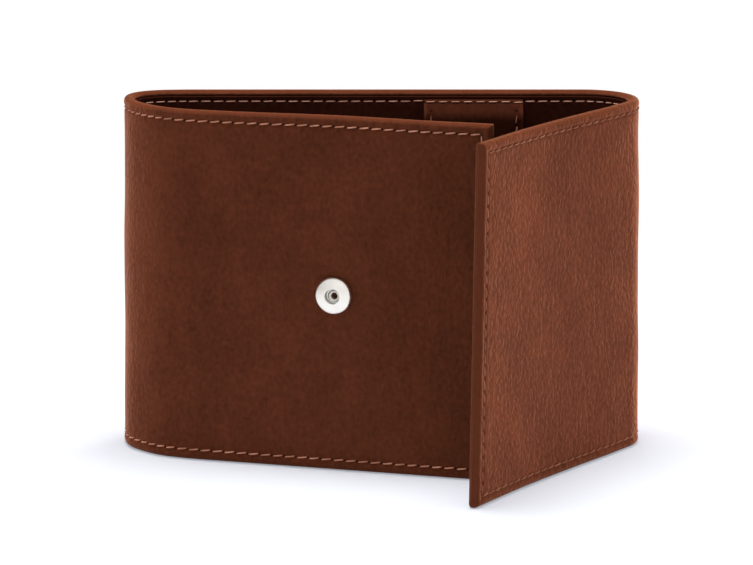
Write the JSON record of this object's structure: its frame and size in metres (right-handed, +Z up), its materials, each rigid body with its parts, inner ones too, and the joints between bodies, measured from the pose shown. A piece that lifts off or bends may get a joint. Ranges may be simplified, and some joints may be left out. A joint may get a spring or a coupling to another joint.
{
  "type": "tri-fold wallet",
  "caption": "Tri-fold leather cover with stitched turned edges, an inner retaining band and a snap, standing half open.",
  "frame": {"origin": "middle of the back panel's lower edge, half way between the two folds", "axes": "+Z up, +Y out of the back panel's outer face, +X towards the right fold as seen from the open side"},
  "size_m": [0.1304, 0.0822, 0.089],
  "materials": {
    "leather": "brown fine-grained calf, semi-matt, turned edges",
    "lining": "dark brown thin lining leather, matt",
    "thread": "light brown twisted polyester thread",
    "board": "grey-brown stiffener board",
    "nickel": "satin nickel plate on brass",
    "steel": "plain spring steel and tinned rivet"
  },
  "bodies": {
    "back": {"back_board": "board", "back_bottom_inner_thread": "thread", "back_bottom_outer_thread": "thread", "back_leather": "leather", "back_lining": "lining", "back_top_inner_thread": "thread", "back_top_outer_thread": "thread", "band_left_thread": "thread", "band_right_thread": "thread", "retaining_band": "leather"},
    "left_fold": {"left_fold_bottom_inner_thread": "thread", "left_fold_bottom_outer_thread": "thread", "left_fold_leather": "leather", "left_fold_lining": "lining", "left_fold_stay": "board", "left_fold_top_inner_thread": "thread", "left_fold_top_outer_thread": "thread"},
    "left_flap": {"left_flap_board": "board", "left_flap_inner_thread": "thread", "left_flap_leather": "leather", "left_flap_lining": "lining", "left_flap_outer_thread": "thread", "left_slip_pocket": "lining", "snap_socket": "nickel", "socket_rivet": "steel", "socket_spring": "steel"},
    "right_fold": {"right_fold_bottom_inner_thread": "thread", "right_fold_bottom_outer_thread": "thread", "right_fold_leather": "leather", "right_fold_lining": "lining", "right_fold_stay": "board", "right_fold_top_inner_thread": "thread", "right_fold_top_outer_thread": "thread"},
    "right_flap": {"right_flap_board": "board", "right_flap_inner_thread": "thread", "right_flap_leather": "leather", "right_flap_lining": "lining", "right_flap_outer_thread": "thread", "snap_stud": "nickel", "stud_rivet": "steel"}
  },
  "joints": [
    {"name": "left_flap_fold", "type": "hinge", "parent": "left_fold", "child": "left_flap", "pos_m": [-0.06226, -0.02433, 0.0445], "axis": [0, 0, -1], "range_deg": [-12.5, 81.8], "deforming": ["left_fold_bottom_inner_thread", "left_fold_bottom_outer_thread", "left_fold_leather", "left_fold_lining", "left_fold_top_inner_thread", "left_fold_top_outer_thread"]},
    {"name": "left_fold_bend", "type": "hinge", "parent": "back", "child": "left_fold", "pos_m": [-0.05921, -0.00314, 0.0445], "axis": [0, 0, -1], "range_deg": [-12.5, 81.8], "deforming": ["left_fold_bottom_inner_thread", "left_fold_bottom_outer_thread", "left_fold_leather", "left_fold_lining", "left_fold_top_inner_thread", "left_fold_top_outer_thread"]},
    {"name": "right_flap_fold", "type": "hinge", "parent": "right_fold", "child": "right_flap", "pos_m": [0.0641, -0.0132, 0.0445], "axis": [0, 0, 1], "range_deg": [-2, 61.5], "deforming": ["right_fold_bottom_inner_thread", "right_fold_bottom_outer_thread", "right_fold_leather", "right_fold_lining", "right_fold_top_inner_thread", "right_fold_top_outer_thread"]},
    {"name": "right_fold_bend", "type": "hinge", "parent": "back", "child": "right_fold", "pos_m": [0.05785, -0.00169, 0.0445], "axis": [0, 0, 1], "range_deg": [-2, 61.5], "deforming": ["right_fold_bottom_inner_thread", "right_fold_bottom_outer_thread", "right_fold_leather", "right_fold_lining", "right_fold_top_inner_thread", "right_fold_top_outer_thread"]}
  ],
  "couplings": [
    {"joint": "left_fold_bend", "follows": "left_flap_fold", "ratio": 1},
    {"joint": "right_fold_bend", "follows": "right_flap_fold", "ratio": 1}
  ]
}
